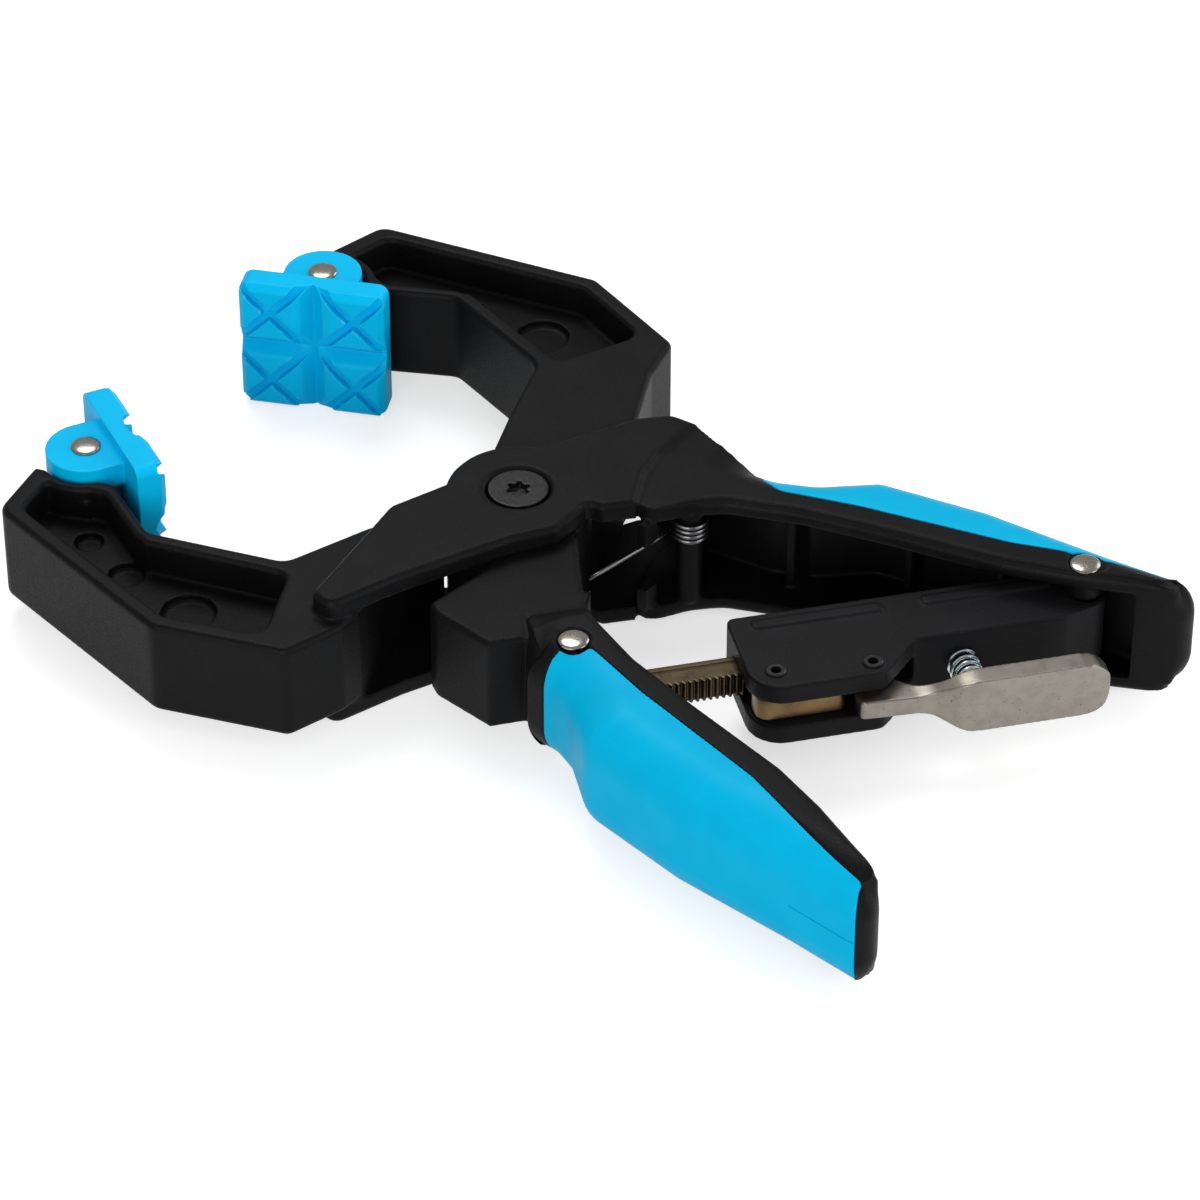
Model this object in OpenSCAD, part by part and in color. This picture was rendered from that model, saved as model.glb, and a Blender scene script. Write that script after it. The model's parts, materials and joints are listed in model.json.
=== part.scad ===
// Ratcheting hand clamp, lying on its side.
// The origin is on the pivot axis, at the plane that the clamp lies on.
// +Z is up the pivot, +X runs from the pivot to the handles, and the jaws reach towards -X.
// The outer arm has its jaw at -Y and its handle at +Y. The inner arm is the other way round.

/* [Arms] */
// Height of the pivot cheeks, which is the height of the whole clamp
body_h = 40; // [38:1:48]
// Thickness of each pivot cheek
cheek_t = 5.5; // [4:0.5:7]
// Gap between the inner arm's hub and each cheek
hub_gap = 0.5; // [0.3:0.1:1]
// Height of the handles
handle_h = 37; // [34:1:38]
// Thickness of the handle walls
wall = 4.8; // [3.5:0.1:5]
// Thickness of the handles' solid ends
end_wall = 14; // [8:1:16]
// From the pivot to the pad pins, along X
jaw_reach = 105; // [95:1:130]
// From the clamp's centre line to each pad pin at rest
jaw_half = 50; // [46:1:60]
// From the pivot to the far end of the handles
handle_reach = 163; // [155:1:200]
// Radius of the inner arm's hub
hub_r = 19; // [15:0.5:20]

/* [Jaw pockets] */
// Depth of the pocket in each side of a jaw
pocket_depth = 10; // [6:1:12]
// Thickness of a jaw's outer wall
jaw_wall = 5; // [3:0.5:7]

/* [Pivot] */
// Radius of the pivot nut's barrel
barrel_r = 5; // [4:0.25:6]
// Radius of the pivot screw's head
screw_head_r = 7.9; // [7:0.1:9]
// Radius of the pivot screw's shank
screw_r = 3; // [2.5:0.25:3.5]
// Radial running clearance of a turning pin
running = 0.05; // [0.02:0.01:0.1]

/* [Pads] */
// Width of a pad's face
pad_w = 41; // [34:1:48]
// From a pad's pin to its face
pad_front = 15.1; // [14:0.1:17]
// From a pad's pin to the back of its plate
pad_back = 6.75; // [6.5:0.05:8]
// Thickness of each pad lug
lug_t = 6.7; // [4:0.1:8]
// Radius of a pad lug
lug_r = 10.75; // [9:0.25:12]
// Thickness of the jaw tongue between the lugs
tongue_t = 19.4; // [16:0.2:20]
// Radius of the jaw tongue's end
tongue_r = 6.2; // [5:0.1:6.2]
// Radius of a pad pin
pad_pin_r = 2.5; // [2:0.25:3]
// How far the outer pad is turned from square
outer_pad_turn = -29; // [-40:1:10]
// How far the inner pad is turned from square
inner_pad_turn = 24.6; // [-10:0.1:40]
// Width of the tread grooves
tread_w = 2.6; // [1:0.1:3]
// Depth of the tread grooves
tread_depth = 2.4; // [1:0.1:3]

/* [Ratchet] */
// Width of the ratchet bar over its teeth
bar_w = 8; // [7:0.1:9]
// Height of the ratchet bar
bar_h = 6.6; // [5:0.1:8]
// From the bar's pin to its far end
bar_len = 92; // [86:1:94]
// Distance from tooth to tooth
pitch = 1.7; // [1.4:0.1:2.2]
// Depth of the teeth
tooth_depth = 1; // [0.6:0.1:1.2]
// Radius of the bar pin and the housing pin
link_pin_r = 2.5; // [2:0.25:3]
// Radius of the pin heads
pin_head_r = 3.95; // [3.5:0.05:4.5]
// Height of the ratchet housing
housing_h = 18.5; // [16:0.5:20]
// Clearance over and under the bar inside the housing
slot_gap = 0.3; // [0.2:0.1:0.6]
// Radius of the rivets
rivet_r = 2; // [1.5:0.25:2.5]

/* [Trigger] */
// Height of the trigger's paddle
paddle_h = 16; // [12:1:20]
// Height of the trigger's arm
trigger_arm_h = 5.3; // [4:0.1:6]
// Thickness of the paddle
paddle_t = 5.9; // [4:0.1:7]
// Outer radius of the trigger spring
spring_r = 4.3; // [3.5:0.1:5]
// Radius of the spring wire
wire_r = 0.5; // [0.4:0.05:0.7]

/* [Grips] */
// Thickness of the moulded grips
grip_t = 2.4; // [1.5:0.1:3]

/* [Hidden] */
$fn = 64;

over = 1;                                   // how far a cutter runs past what it cuts
mid = body_h / 2;                           // height of the clamp's middle plane
hub_h = body_h - 2 * cheek_t - 2 * hub_gap; // the jaws are as deep as the hub
channel_h = handle_h - 2 * wall;
pad_pin_at = [-jaw_reach, jaw_half];
handle_pin_at = [handle_reach - 28, 62];    // the housing pin, in the outer arm's handle
bar_pin_at = [48, -40.5];                   // the bar pin, in the inner arm's handle
scoop_r = lug_r + 0.7;
tongue_angle = 72;                          // from the pad pin into the jaw
pad_gap = 0.3;                              // between a pad's lugs and the tongue
spring_gap = 0.05;                          // under the trigger spring's ends
bush_r = barrel_r + 1.6;
head_t = 2.9;                               // thickness of the pivot screw's head
head_sink = 3.2;                            // depth of the counterbores for the pivot's heads
boss_r = 5;                                 // the bosses round the link pins
pin_flange = 1;                             // depth of a link pin's head in its handle

// The opening spring's post, and the ribs in the outer handle's channel
spring_post_at = [37, 25];
spring_post_r = 3.6;
opening_wire = 0.7;                         // radius of the opening spring's wire
opening_leg = 33;                           // from the coil to the inner arm's neck
rib_places = [57, 84, 110];

// Where the inner arm's low neck rises to the full handle, along the neck from the pivot
neck_run = 46;
ramp_run = 8;
neck_end = neck_run + ramp_run + 0.5;
neck_turn = 40;

// The bar's own frame: u runs from the bar pin to the housing pin, v towards the teeth
bar_vec = handle_pin_at - bar_pin_at;
bar_angle = atan2(bar_vec.y, bar_vec.x);
link_len = norm(bar_vec);
tooth_v = 6.1;                              // the tooth tips
spine_v = tooth_v - bar_w;                  // the bar's smooth back
slot_h = bar_h + 2 * slot_gap;
pawl_at = [49.2, 13.6];
trigger_at = [74, 15.7];
first_tooth = 14;
tail_v = 9;                                 // the tail's outer face
housing_back = -10;
trigger_face = 22.5;                        // the paddle's inner face
trigger_end = 134;                          // the paddle's far end
housing_front = 42;
eye_r = 5;                                  // the bar's eye round its pin
eye_gap = 0.6;                              // between the eye and the inner handle
pawl_gap = 0.3;                             // between the pawl's teeth and the bar's, just lifted
pawl_toe = [59.7, 66.6];                    // where the pawl's teeth start and end
spring_u = 99;
open_play = 1.3;                            // play of the housing pin in the open pivot

// ---- outlines -------------------------------------------------------------------------
function unit(v) = v / norm(v);

// The arc that rounds corner b, between its neighbours a and c
function corner(a, b, c, r, steps = 6) =
    let (
        ua = unit(a - b),
        uc = unit(c - b),
        half = acos(ua * uc) / 2,
        centre = b + unit(ua + uc) * r / sin(half),
        from = b + ua * r / tan(half) - centre,
        to = b + uc * r / tan(half) - centre,
        start = atan2(from.y, from.x),
        turn = (atan2(to.y, to.x) - start + 540) % 360 - 180
    )
    [for (i = [0:steps]) centre + r * [cos(start + turn * i / steps), sin(start + turn * i / steps)]];

function xy(p) = [p.x, p.y];

// A closed outline of [x, y, corner radius] points
function rounded(p) =
    [for (i = [0:len(p) - 1])
        let (a = p[(i + len(p) - 1) % len(p)], b = p[i], c = p[(i + 1) % len(p)])
        each (b[2] > 0 ? corner(xy(a), xy(b), xy(c), b[2]) : [xy(b)])];

// The same outline on the other side of the centre line
function flipped(p) = [for (i = [len(p) - 1:-1:0]) [p[i].x, -p[i].y, p[i][2]]];

function middle_of(p) = [for (i = [1:len(p) - 2]) p[i]];

function left_of(a, b) = let (d = unit(xy(b) - xy(a))) [-d.y, d.x];

// An open path moved to its left by d, with mitred corners
function shifted(p, d) =
    [for (i = [0:len(p) - 1])
        let (
            before = left_of(p[max(i - 1, 0)], p[max(i, 1)]),
            after = left_of(p[min(i, len(p) - 2)], p[min(i + 1, len(p) - 1)]),
            both = unit(before + after),
            at = xy(p[i]) + both * d / (both * before)
        )
        [at.x, at.y, max(p[i][2] - d, 0.6)]];

module slab(points, h, at = mid) {
    translate([0, 0, at - h / 2])
        linear_extrude(h)
            polygon(rounded(points));
}

module along_bar() {
    translate([bar_pin_at.x, bar_pin_at.y, 0])
        rotate(bar_angle)
            mirror([0, 1, 0])
                children();
}

module at_xy(p) {
    translate([p.x, p.y, 0])
        children();
}

// A cylinder from height z0 to height z1
module post(r, z0, z1) {
    translate([0, 0, z0])
        cylinder(r = r, h = z1 - z0);
}

// Both the upper and the lower of a pair, mirrored in the middle plane
module both_sides() {
    children();
    translate([0, 0, body_h])
        mirror([0, 0, 1])
            children();
}

// A round wire wound on Z from height 0 to height h, with straight legs before and after it
module coil(r, wire, rings, h, legs = [0, 0], per_turn = 18, sides = 6) {
    last = 360 * rings / per_turn;
    lead = legs[0] > 0 ? [[r, -legs[0], 0, wire]] : [];
    tail = legs[1] > 0
        ? [[r * cos(last) - legs[1] * sin(last), r * sin(last) + legs[1] * cos(last), last, h - wire]]
        : [];
    // The wire's centre line as [x, y, direction of its outer side, z]
    route = concat(lead, [for (i = [0:rings])
        let (a = last * i / rings)
        [r * cos(a), r * sin(a), a, wire + (h - 2 * wire) * i / rings]], tail);
    points = [for (p = route, k = [0:sides - 1])
        let (b = 360 * k / sides, out = wire * cos(b))
        [p[0] + out * cos(p[2]), p[1] + out * sin(p[2]), p[3] + wire * sin(b)]];
    ends = len(route) - 1;
    skin = [for (i = [0:ends - 1], k = [0:sides - 1])
        let (n = (k + 1) % sides)
        [i * sides + n, (i + 1) * sides + n, (i + 1) * sides + k, i * sides + k]];
    polyhedron(points, concat(
        skin,
        [[for (k = [sides - 1:-1:0]) k]],
        [[for (k = [0:sides - 1]) ends * sides + k]]
    ), convexity = 10);
}

// ---- arm outlines, with the jaw and the handle at +Y ----------------------------------
jaw_tip = [
    [-34.5, 54, 5], [-jaw_reach + 34, jaw_half + 15.5, 5], [-jaw_reach + 14, jaw_half + 5, 2],
    [-jaw_reach - 8, jaw_half + 11.5, 1], [-jaw_reach - 3.7, jaw_half + 31, 5],
    [-45, 95.5, 5], [-10.5, 83.5, 3]
];
jaw_pocket = [
    [-30.5, 58, 3], [-jaw_reach + 35, jaw_half + 20, 4], [-jaw_reach + 14.5, jaw_half + 9.5, 2],
    [-jaw_reach - 1, jaw_half + 14, 2], [-jaw_reach + jaw_wall - 3.5, jaw_half + 27, 4],
    [-45.5, 95.4 - jaw_wall * 1.06, 5], [-20, 86.3 - jaw_wall * 1.06, 4]
];
pocket_rounds = [[-89, 68.4, 3.75], [-72, 73.4, 4.75], [-49, 76, 7.15]];

// The handle's outer side, from near its end to the neck: an open path
handle_side = [
    [136, 74.5, 12], [101, 72, 12], [70, 66, 10], [57, 54.5, 12], [48, 50.3, 10],
    [30, 48, 10], [21, 51, 0]
];
handle_end = [
    [handle_reach - 13, 63.5, 0], [handle_reach - 2.5, 68, 6], [handle_reach, 77.5, 4.4]
];
handle_outer = concat(handle_end, handle_side);
end_slope = (handle_end[2].y - handle_side[0].y) / (handle_reach - handle_side[0].x);

// The outer side, lengthened to x
function side_from(x) =
    concat([[x, handle_side[0].y + (x - handle_side[0].x) * end_slope, 0]], handle_side);

handle_inner = [
    [28.5, 13, 3], [34, 16, 6], [39, 23, 8], [46, 29, 10], [64, 36.6, 10], [86, 42.5, 10],
    [118, 50, 10], [134, 56, 10]
];
// The same edge, pushed out past the handle's open side
channel_mouth = [
    [24, -2, 0], [60, 10, 0], [100, 22, 0], [handle_reach - 30, 40, 0],
    [handle_reach - end_wall, 50, 0]
];
grip_edge = [
    [46.8, 44, 4], [54, 40.8, 5], [74, 47.5, 10], [115, 58, 12],
    [handle_reach - 15, 71, 8], [handle_reach - 4.5, 75, 3],
    [handle_reach - 3.8, 90, 0], [36, 90, 0], [44.5, 55, 8]
];

cheek = [
    [-16, -66.5, 3], [-8.5, -68, 4], [-1.5, -47.6, 10], [12, -18, 10], [18.8, -7.6, 4],
    [18.3, 5.6, 2], [22.6, 6.4, 2], [28.5, 13, 0], [22.8, 25, 6], [20.8, 34, 8],
    [21.2, 51, 0], [13, 50.4, 5], [6.6, 43.9, 8], [-6.6, 18, 0], [-16, 9, 0],
    [-16, -7.7, 0], [-22.5, -25.4, 3], [-20.6, -36.8, 8]
];
web = [
    [-34.5, -54, 5], [-26, -30, 4], [-21.5, -24, 0], [-18, -10, 0], [-14, -14, 0],
    [-10.5, -40, 6], [-5.5, -60, 0], [-5.5, -67, 1], [-10.5, -83.5, 3]
];
inner_root = [
    [-7, 69, 0], [3.5, 47, 8], [14, 12.8, 0], [0, 0, 0], [-17.2, 8, 0], [-26, 30, 6]
];
inner_neck = [
    [0, 0, 0], [4, -18.6, 0], [9, -26, 4], [6, -46, 2], [10, -48.5, 3], [32, -51, 6],
    [50, -51, 0], [62, -45, 0], [60, -35, 0], [46, -29, 6], [35, -18.5, 8], [18.5, 0.5, 0]
];

// ---- arms -----------------------------------------------------------------------------
module jaw_cuts() {
    both_sides()
        slab(jaw_pocket, pocket_depth * 2, mid + hub_h / 2);
    at_xy(pad_pin_at)
        post(scoop_r, -over, body_h + over);
}

// The rounded wall that closes the pocket round the scoop
module scoop_wall() {
    intersection() {
        at_xy(pad_pin_at)
            difference() {
                post(scoop_r + 3.4, mid - hub_h / 2, mid + hub_h / 2);
                post(scoop_r, -over, body_h + over);
            }
        slab(concat(jaw_tip, [[-26, 60, 0]]), body_h);
    }
}

module tongue() {
    at_xy(pad_pin_at)
        rotate(tongue_angle)
            translate([0, 0, mid - tongue_t / 2]) {
                cylinder(r = tongue_r, h = tongue_t);
                translate([0, -tongue_r, 0])
                    cube([scoop_r + 3, 2 * tongue_r, tongue_t]);
            }
}

// A jaw at +Y: its block joins the pivot through the outline root
module jaw(root) {
    difference() {
        union() {
            difference() {
                slab(concat(jaw_tip, root), hub_h);
                jaw_cuts();
            }
            scoop_wall();
            tongue();
        }
        for (round = pocket_rounds)
            at_xy(round)
                both_sides()
                    post(round[2], mid + hub_h / 2 - pocket_depth - 2, body_h);
        at_xy(pad_pin_at)
            post(pad_pin_r + running, -over, body_h + over);
    }
}

// The outer handle skin: what the grip covers
module grip_zone(skip) {
    difference() {
        slab(grip_edge, body_h + 2 * over);
        at_xy(skip)
            post(pin_head_r + 1.4, -over, body_h + over);
    }
}

module handle_core() {
    slab(concat(shifted(side_from(handle_reach - 2), grip_t), handle_inner), handle_h - 2 * grip_t);
}

module channel() {
    slab(concat(shifted(side_from(handle_reach - end_wall), wall), channel_mouth), channel_h);
}

module pin_recess(p) {
    at_xy(p) {
        both_sides()
            post(pin_head_r + 0.5, mid + handle_h / 2 - 1, body_h + over);
        post(link_pin_r, -over, body_h + over);
    }
}

module pin_bosses(p, gap) {
    at_xy(p)
        both_sides()
            post(boss_r, mid + gap / 2, mid + channel_h / 2 + 0.5);
}

module grip(full, skip) {
    difference() {
        intersection() {
            slab(full, handle_h);
            grip_zone(skip);
        }
        handle_core();
    }
}

// The black part of a handle at +Y
module handle(full, skip) {
    difference() {
        slab(full, handle_h);
        difference() {
            grip_zone(skip);
            handle_core();
        }
        children();
    }
}

outer_handle = concat(handle_outer, [[20.8, 34, 0], [22.8, 25, 0]], handle_inner);
inner_handle = concat(
    [for (i = [0:len(handle_outer) - 3]) handle_outer[i]],
    [[40, 49.6, 0], [30, 36, 0], [36, 17, 0]],
    [for (i = [2:len(handle_inner) - 1]) handle_inner[i]]
);

module outer_arm() {
    color([0.07, 0.07, 0.08])
        difference() {
            union() {
                both_sides()
                    cheek_plate();
                mirror([0, 1, 0])
                    jaw(middle_of(flipped(web)));
                intersection() {
                    slab(web, body_h - 2 * cheek_t);
                    slab(cheek, body_h);
                }
                slab([[12.6, 50.5, 3], [11, 45.6, 1], [24, 45.6, 0], [24, 49.4, 0]],
                    body_h - 2 * cheek_t);
                handle(outer_handle, handle_pin_at)
                    channel();
                ribs();
                pin_bosses(handle_pin_at, housing_h + 2 * slot_gap);
                spring_seat();
            }
            post(hub_r + 0.5, cheek_t, body_h - cheek_t);
            pin_recess(handle_pin_at);
            pivot_bore();
        }
}

module cheek_plate() {
    translate([0, 0, body_h - cheek_t])
        linear_extrude(cheek_t) {
            polygon(rounded(cheek));
            circle(r = hub_r);
        }
}

module pivot_bore() {
    post(barrel_r, -over, body_h + over);
    both_sides()
        post(screw_head_r + 0.3, body_h - head_sink, body_h + over);
}

module ribs() {
    intersection() {
        for (x = rib_places)
            translate([x - 1.2, 0, mid - channel_h / 2 - 0.5])
                cube([2.4, 90, channel_h + 1]);
        difference() {
            slab(concat(shifted(handle_side, wall - 1), handle_inner), channel_h + 1);
            slab(concat(shifted(handle_side, wall + 6), channel_mouth), body_h);
        }
    }
}

// The post that the opening spring sits on, and the guides for its long leg
module spring_seat() {
    at_xy(spring_post_at)
        post(spring_post_r, mid - channel_h / 2 - 0.5, mid + channel_h / 2 + 0.5);
    both_sides()
        translate([29.5, 12, mid + 7])
            cube([3, 5, channel_h / 2 - 6.5]);
}

module inner_arm() {
    color([0.07, 0.07, 0.08])
        difference() {
            union() {
                jaw(inner_root);
                post(hub_r, mid - hub_h / 2, mid + hub_h / 2);
                mirror([0, 1, 0]) {
                    intersection() {
                        slab(flipped(inner_neck), hub_h);
                        neck_zone();
                    }
                    neck_ramp()
                        handle(inner_handle, [bar_pin_at.x, -bar_pin_at.y])
                            difference() {
                                channel();
                                neck_zone();
                            }
                }
                pin_bosses(bar_pin_at, slot_h);
            }
            pin_recess(bar_pin_at);
            at_xy(bar_pin_at)
                post(eye_r + eye_gap, mid - slot_h / 2, mid + slot_h / 2);
            post(bush_r, -over, body_h + over);
        }
}

// What is nearer the pivot than the neck's end, at +Y
module neck_zone() {
    rotate(neck_turn)
        translate([neck_end - 200, -100, -over])
            cube([200, 200, body_h + 2 * over]);
}

module neck_ramp() {
    rise = (handle_h - hub_h) / 2;
    difference() {
        children();
        both_sides()
            rotate(neck_turn)
                translate([0, 100, mid + hub_h / 2])
                    rotate([90, 0, 0])
                        linear_extrude(200)
                            polygon([
                                [-60, 0], [neck_run, 0],
                                [neck_run + 2 * ramp_run, 2 * rise], [-60, 2 * rise]
                            ]);
    }
}

module outer_grip() {
    color([0, 0.72, 0.9])
        difference() {
            grip(outer_handle, handle_pin_at);
            pin_recess(handle_pin_at);
        }
}

module inner_grip() {
    color([0, 0.72, 0.9])
        mirror([0, 1, 0])
            neck_ramp()
                grip(inner_handle, [bar_pin_at.x, -bar_pin_at.y]);
}

// ---- pivot ----------------------------------------------------------------------------
module pivot_bush() {
    color([0.65, 0.62, 0.5])
        difference() {
            post(bush_r, mid - hub_h / 2, mid + hub_h / 2);
            post(barrel_r + running, 0, body_h);
        }
}

module pivot_nut() {
    color([0.12, 0.12, 0.12])
        difference() {
            union() {
                post(screw_head_r, 0, head_sink);
                post(barrel_r, 0, body_h - head_sink);
            }
            post(screw_r, 8, body_h);
        }
}

module pivot_screw() {
    color([0.12, 0.12, 0.12])
        difference() {
            union() {
                post(screw_head_r, body_h - head_sink, body_h - head_sink + head_t);
                post(screw_r, 12, body_h - head_sink + over);
            }
            six_lobes(body_h - 2.2);
        }
}

// A six-lobed driver socket, open upwards from height z
module six_lobes(z) {
    socket_r = 3.2;
    difference() {
        post(socket_r, z, body_h + over);
        for (a = [30:60:330])
            rotate(a)
                translate([socket_r, 0, 0])
                    post(0.95, z - over, body_h + 2);
    }
    post(2, z, body_h + over);
}

// The long leg bears on the inner arm's neck, the short one on the outer arm's wall
module opening_spring() {
    color([0.6, 0.62, 0.65])
        translate([spring_post_at.x, spring_post_at.y, mid + 5])
            rotate(170)
                mirror([0, 1, 0])
                    coil(spring_post_r + opening_wire + 0.2, opening_wire, 73, 7.5, [opening_leg, 18]);
}

// ---- jaw pads -------------------------------------------------------------------------
// A pad, with its pin at the origin and its face towards +X
module pad() {
    face = pad_front - pad_back;
    difference() {
        union() {
            difference() {
                pad_plate();
                tread();
            }
            both_sides()
                translate([0, 0, mid + tongue_t / 2 + pad_gap]) {
                    cylinder(r = lug_r, h = lug_t);
                    translate([0, -lug_r, 0])
                        cube([pad_back + face / 2, 2 * lug_r, lug_t]);
                }
        }
        post(pad_pin_r, -over, body_h + over);
    }
}

module pad_plate() {
    corner_r = 3;
    chamfer = 1.8;
    difference() {
        translate([pad_front, 0, mid])
            rotate([0, -90, 0])
                linear_extrude(pad_front - pad_back)
                    polygon(rounded([
                        [-mid, -pad_w / 2, corner_r], [mid, -pad_w / 2, corner_r],
                        [mid, pad_w / 2, corner_r], [-mid, pad_w / 2, corner_r]
                    ]));
        for (turn = [0, 90, 180, 270])
            translate([pad_front, 0, mid])
                rotate([turn, 0, 0])
                    translate([-chamfer, (turn % 180 == 0 ? pad_w : body_h) / 2, -pad_w])
                        rotate(-45)
                            translate([-over, 0, 0])
                                cube([3 * chamfer + over, 3 * chamfer, 2 * pad_w]);
    }
}

// A cross of two V grooves, and a diagonal cross in each quarter that runs out over the edges
module tread() {
    v = 3.2;
    cross_at = [pad_w / 4 + 1.6, body_h / 4 + 1];
    cross_w = pad_w * 0.72;
    translate([pad_front, 0, 0])
        linear_extrude(body_h + over)
            polygon([[over, -v - over], [-v, 0], [over, v + over]]);
    translate([pad_front, -pad_w, mid])
        rotate([-90, 0, 0])
            linear_extrude(2 * pad_w)
                polygon([[over, -v * 0.8 - over], [-v * 0.8, 0], [over, v * 0.8 + over]]);
    for (y = [-1, 1] * cross_at.x, z = [-1, 1] * cross_at.y, turn = [-45, 45])
        translate([pad_front - tread_depth, y, mid + z])
            rotate([turn, 0, 0])
                translate([0, -cross_w / 2, -tread_w / 2])
                    cube([tread_depth + over, cross_w, tread_w]);
}

module pad_pin() {
    top = mid + tongue_t / 2 + pad_gap + lug_t;
    rotate_extrude()
        polygon([
            [0, body_h - top - 1.1], [2, body_h - top - 1], [pin_head_r, body_h - top - 0.5],
            [pin_head_r, body_h - top], [pad_pin_r, body_h - top], [pad_pin_r, top],
            [pin_head_r, top], [pin_head_r, top + 0.5], [2, top + 1], [0, top + 1.1]
        ]);
}

module at_outer_pad() {
    translate([pad_pin_at.x, -pad_pin_at.y, 0])
        rotate(90 + outer_pad_turn)
            children();
}

module at_inner_pad() {
    translate([pad_pin_at.x, pad_pin_at.y, 0])
        rotate(-90 + inner_pad_turn)
            children();
}

module outer_jaw_pad() {
    color([0, 0.75, 0.95])
        at_outer_pad()
            pad();
}

module inner_jaw_pad() {
    color([0, 0.75, 0.95])
        at_inner_pad()
            pad();
}

module outer_pad_pin() {
    color([0.75, 0.75, 0.72])
        at_outer_pad()
            pad_pin();
}

module inner_pad_pin() {
    color([0.75, 0.75, 0.72])
        at_inner_pad()
            pad_pin();
}

// ---- ratchet --------------------------------------------------------------------------
// Tooth outline from tooth number i: a point at the root and two at the tip
function tooth(i) = [
    [first_tooth + pitch * (i - 0.42), tooth_v - tooth_depth],
    [first_tooth + pitch * (i - 0.16), tooth_v],
    [first_tooth + pitch * (i + 0.16), tooth_v],
    [first_tooth + pitch * (i + 0.42), tooth_v - tooth_depth]
];
tooth_count = floor((bar_len - 1.5 - first_tooth) / pitch);

module ratchet_bar() {
    color([0.42, 0.35, 0.22])
        along_bar()
            difference() {
                union() {
                    post(eye_r, mid - bar_h / 2, mid + bar_h / 2);
                    translate([0, 0, mid - bar_h / 2])
                        linear_extrude(bar_h)
                            polygon(concat(
                                [[3, spine_v], [3, tooth_v - tooth_depth]],
                                [for (i = [0:tooth_count]) each tooth(i)],
                                [[bar_len, tooth_v - tooth_depth], [bar_len, spine_v]]
                            ));
                }
                post(link_pin_r + running, 0, body_h);
                both_sides()
                    translate([eye_r + 4, spine_v + 1.6, mid + bar_h / 2 - 0.35])
                        cube([bar_len, 0.7, 1]);
            }
}

module link_pin() {
    top = mid + handle_h / 2;
    rotate_extrude()
        polygon([
            [0, body_h - top - 0.2], [2, body_h - top - 0.1], [pin_head_r, body_h - top + 0.4],
            [pin_head_r, body_h - top + 1], [link_pin_r, body_h - top + 1],
            [link_pin_r, top - 1], [pin_head_r, top - 1], [pin_head_r, top - 0.4],
            [2, top + 0.1], [0, top + 0.2]
        ]);
}

module bar_pin() {
    color([0.75, 0.75, 0.72])
        at_xy(bar_pin_at)
            link_pin();
}

module housing_pin() {
    color([0.75, 0.75, 0.72])
        at_xy(handle_pin_at)
            link_pin();
}

housing_outline = [
    [housing_front, housing_back, 2], [housing_front, 20.5, 9], [76, 20.5, 4], [87, tail_v, 3],
    [link_len - 7, tail_v, 5], [link_len + 4.5, 6, 6], [link_len + 6.2, -4, 5],
    [link_len - 2, -6.6, 5], [link_len - 13, housing_back, 5]
];

module ratchet_housing() {
    half = housing_h / 2;
    color([0.09, 0.09, 0.1])
        along_bar()
            difference() {
                union() {
                    slab(housing_outline, housing_h);
                    both_sides()
                        for (u = [48, 93])
                            slab([
                                [u, -7, 1], [u + 34, -7, 1],
                                [u + 34, -3.8, 1], [u, -3.8, 1]
                            ], 1.2, mid + half);
                    translate([spring_u, tail_v - over, mid])
                        rotate([-90, 0, 0])
                            cylinder(r = spring_r - 2 * wire_r - 0.4, h = over + 2.5);
                }
                slab([
                    [housing_front - over, spine_v - slot_gap, 0],
                    [housing_front - over, 40, 0], [95, 40, 0],
                    [86, tooth_v + slot_gap, 0],
                    [bar_len + 34, tooth_v + slot_gap, 0], [bar_len + 34, spine_v - slot_gap, 0]
                ], slot_h);
                open_pivot();
                for (p = [pawl_at, trigger_at])
                    at_xy(p)
                        post(rivet_r, 0, body_h);
            }
}

// The housing pin's hole, long enough for the play of the open pivot
module open_pivot() {
    translate([link_len + 0.35, 0, 0]) {
        for (v = [-0.8, 0.8])
            translate([0, v, 0])
                post(link_pin_r + open_play, 0, body_h);
        translate([-link_pin_r - open_play, -0.8, 0])
            cube([2 * (link_pin_r + open_play), 1.6, body_h]);
    }
}

module pawl() {
    first = ceil((pawl_toe[0] - first_tooth) / pitch - 0.16);
    count = floor((pawl_toe[1] - pawl_toe[0]) / pitch);
    tip = tooth_v + pawl_gap;
    reach = [
        for (i = [first:first + count - 1])
            let (u = first_tooth + pitch * (i + 0.5))
            each [
                [u - pitch * 0.34, tip + tooth_depth], [u - pitch * 0.12, tip],
                [u + pitch * 0.12, tip], [u + pitch * 0.34, tip + tooth_depth]
            ]
    ];
    color([0.6, 0.45, 0.25])
        along_bar()
            difference() {
                union() {
                    slab([
                        [43.5, 9.5, 3], [43.5, 17.8, 4], [67.4, 17.8, 3],
                        [67.4, tip + tooth_depth, 1], [58, tip + tooth_depth, 1]
                    ], bar_h);
                    translate([0, 0, mid - bar_h / 2])
                        linear_extrude(bar_h)
                            polygon(concat(
                                [[pawl_toe[0], tip + 4]], reach, [[pawl_toe[1], tip + 4]]
                            ));
                }
                at_xy(pawl_at)
                    post(rivet_r + running, 0, body_h);
            }
}

module rivet() {
    half = housing_h / 2;
    difference() {
        rotate_extrude()
            polygon([
                [0, mid - half - 0.5], [2.3, mid - half - 0.5], [2.6, mid - half - 0.3],
                [2.6, mid - half], [rivet_r, mid - half], [rivet_r, mid + half],
                [2.6, mid + half], [2.6, mid + half + 0.3], [2.3, mid + half + 0.5],
                [0, mid + half + 0.5]
            ]);
        both_sides()
            post(1.4, mid + half - 2, body_h);
    }
}

module pawl_rivet() {
    color([0.1, 0.1, 0.1])
        along_bar()
            at_xy(pawl_at)
                rivet();
}

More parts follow.
